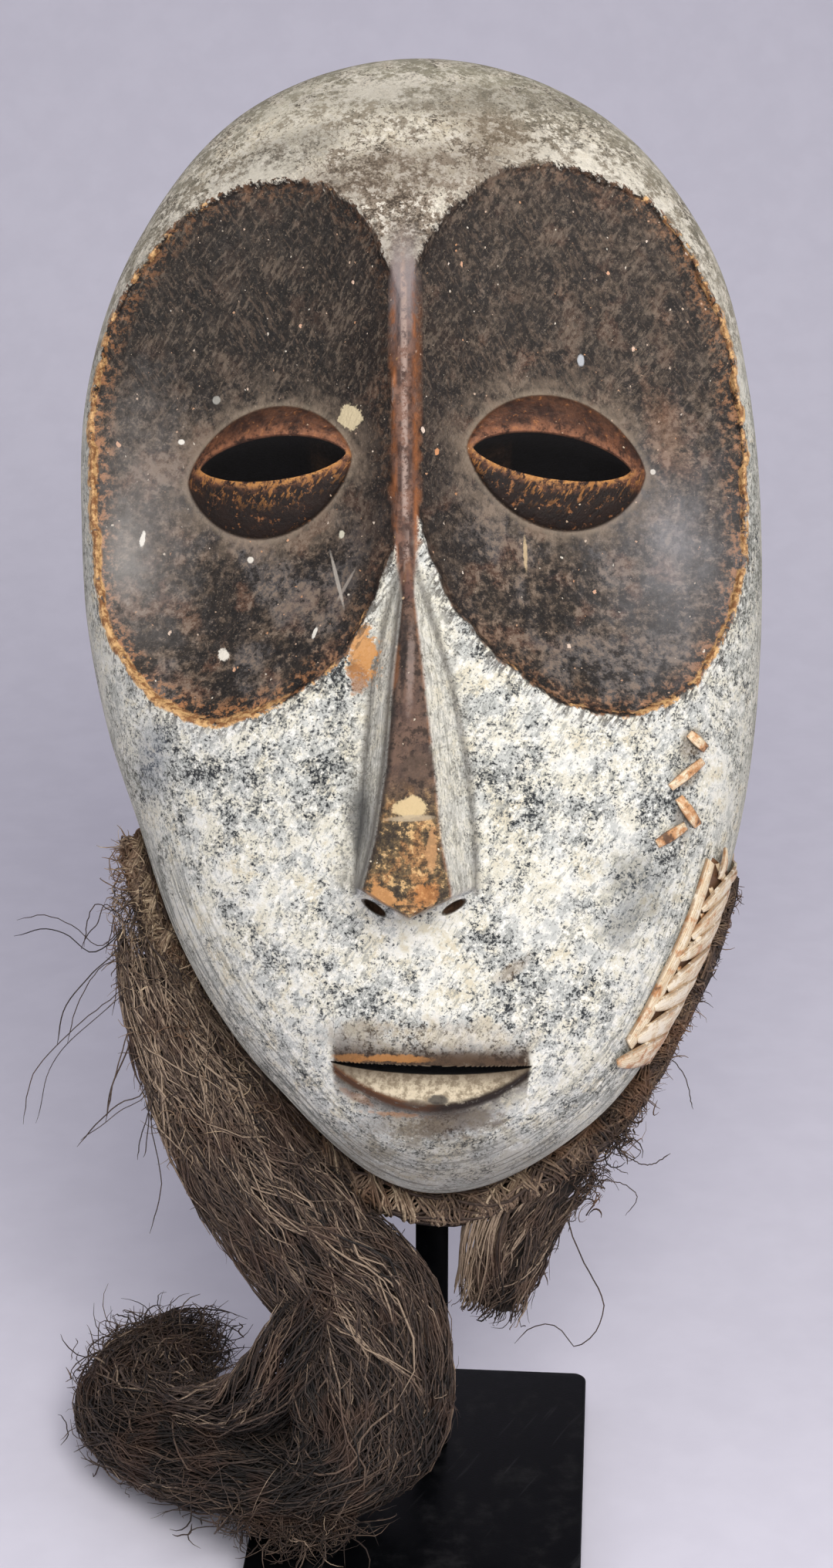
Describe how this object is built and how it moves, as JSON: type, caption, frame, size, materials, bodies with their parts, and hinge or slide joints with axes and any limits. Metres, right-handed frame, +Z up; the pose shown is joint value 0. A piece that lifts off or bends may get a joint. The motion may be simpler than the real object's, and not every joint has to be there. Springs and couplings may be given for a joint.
{
  "type": "bembe mask on a stand",
  "caption": "Carved oval face mask with large dark eye sockets, slit eyes, long nose and a hanging fibre beard, held leaning back on a flat plate stand.",
  "frame": {"origin": "middle of the underside of the stand's base plate", "axes": "+Z up, the mask faces -Y and leans back 22 degrees, +X to the viewer's right"},
  "size_m": [0.2533, 0.2437, 0.5103],
  "materials": {
    "painted_wood": "matt worn white clay over dark wood, dark brown waxed eye sockets",
    "fibre": "dry brown raffia, matt",
    "cane": "split cane, satin, dusty",
    "black_steel": "satin black paint on steel"
  },
  "bodies": {
    "root": {"mask": "painted_wood", "beard_band": "fibre", "beard_hank": "fibre", "beard_tuft": "fibre", "rim_lashing": "cane", "crack_stitch_1": "cane", "crack_stitch_2": "cane", "crack_stitch_3": "cane", "crack_stitch_4": "cane", "stand_base": "black_steel", "stand_stem": "black_steel", "stand_yoke": "black_steel"}
  },
  "joints": []
}
